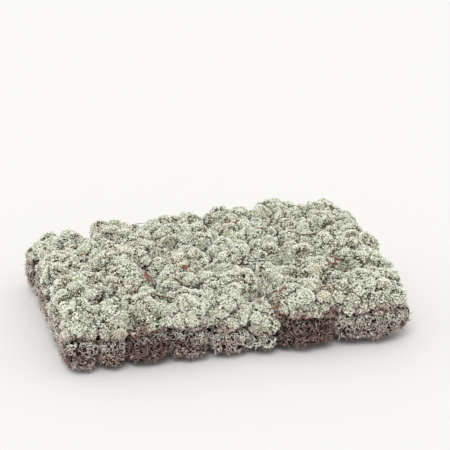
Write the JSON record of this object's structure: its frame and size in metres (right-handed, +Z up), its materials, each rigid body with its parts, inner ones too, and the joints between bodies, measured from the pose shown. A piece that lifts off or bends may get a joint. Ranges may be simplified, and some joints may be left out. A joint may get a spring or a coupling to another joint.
{
  "type": "sheet moss",
  "caption": "Packed sheet of pale reindeer lichen: lobed, dome-shaped heads side by side on dark feet of dead stems, resting flat.",
  "frame": {"origin": "middle of the sheet's underside, on the surface it rests on", "axes": "+X along the sheet to the right, -Y towards its front, +Z up through the heads"},
  "size_m": [0.5884, 0.3934, 0.1325],
  "materials": {
    "living_tips": "matte, pale sage green, finely branched",
    "dead_stems": "matte, mauve-brown, stringy"
  },
  "bodies": {
    "root": {"foot_row_1_1": "dead_stems", "foot_row_1_2": "dead_stems", "foot_row_1_3": "dead_stems", "foot_row_1_4": "dead_stems", "foot_row_1_5": "dead_stems", "foot_row_1_6": "dead_stems", "foot_row_1_7": "dead_stems", "foot_row_1_8": "dead_stems", "foot_row_2_1": "dead_stems", "foot_row_2_7": "dead_stems", "foot_row_3_1": "dead_stems", "foot_row_3_7": "dead_stems", "foot_row_4_1": "dead_stems", "foot_row_4_7": "dead_stems", "foot_row_5_1": "dead_stems", "foot_row_5_2": "dead_stems", "foot_row_5_3": "dead_stems", "foot_row_5_4": "dead_stems", "foot_row_5_5": "dead_stems", "foot_row_5_6": "dead_stems", "foot_row_5_7": "dead_stems", "head_row_1_1": "living_tips", "head_row_1_2": "living_tips", "head_row_1_3": "living_tips", "head_row_1_4": "living_tips", "head_row_1_5": "living_tips", "head_row_1_6": "living_tips", "head_row_1_7": "living_tips", "head_row_1_8": "living_tips", "head_row_2_1": "living_tips", "head_row_2_2": "living_tips", "head_row_2_3": "living_tips", "head_row_2_4": "living_tips", "head_row_2_5": "living_tips", "head_row_2_6": "living_tips", "head_row_2_7": "living_tips", "head_row_3_1": "living_tips", "head_row_3_2": "living_tips", "head_row_3_3": "living_tips", "head_row_3_4": "living_tips", "head_row_3_5": "living_tips", "head_row_3_6": "living_tips", "head_row_3_7": "living_tips", "head_row_4_1": "living_tips", "head_row_4_2": "living_tips", "head_row_4_3": "living_tips", "head_row_4_4": "living_tips", "head_row_4_5": "living_tips", "head_row_4_6": "living_tips", "head_row_4_7": "living_tips", "head_row_5_1": "living_tips", "head_row_5_2": "living_tips", "head_row_5_3": "living_tips", "head_row_5_4": "living_tips", "head_row_5_5": "living_tips", "head_row_5_6": "living_tips", "head_row_5_7": "living_tips", "inner_feet_row_2": "dead_stems", "inner_feet_row_3": "dead_stems", "inner_feet_row_4": "dead_stems"}
  },
  "joints": []
}
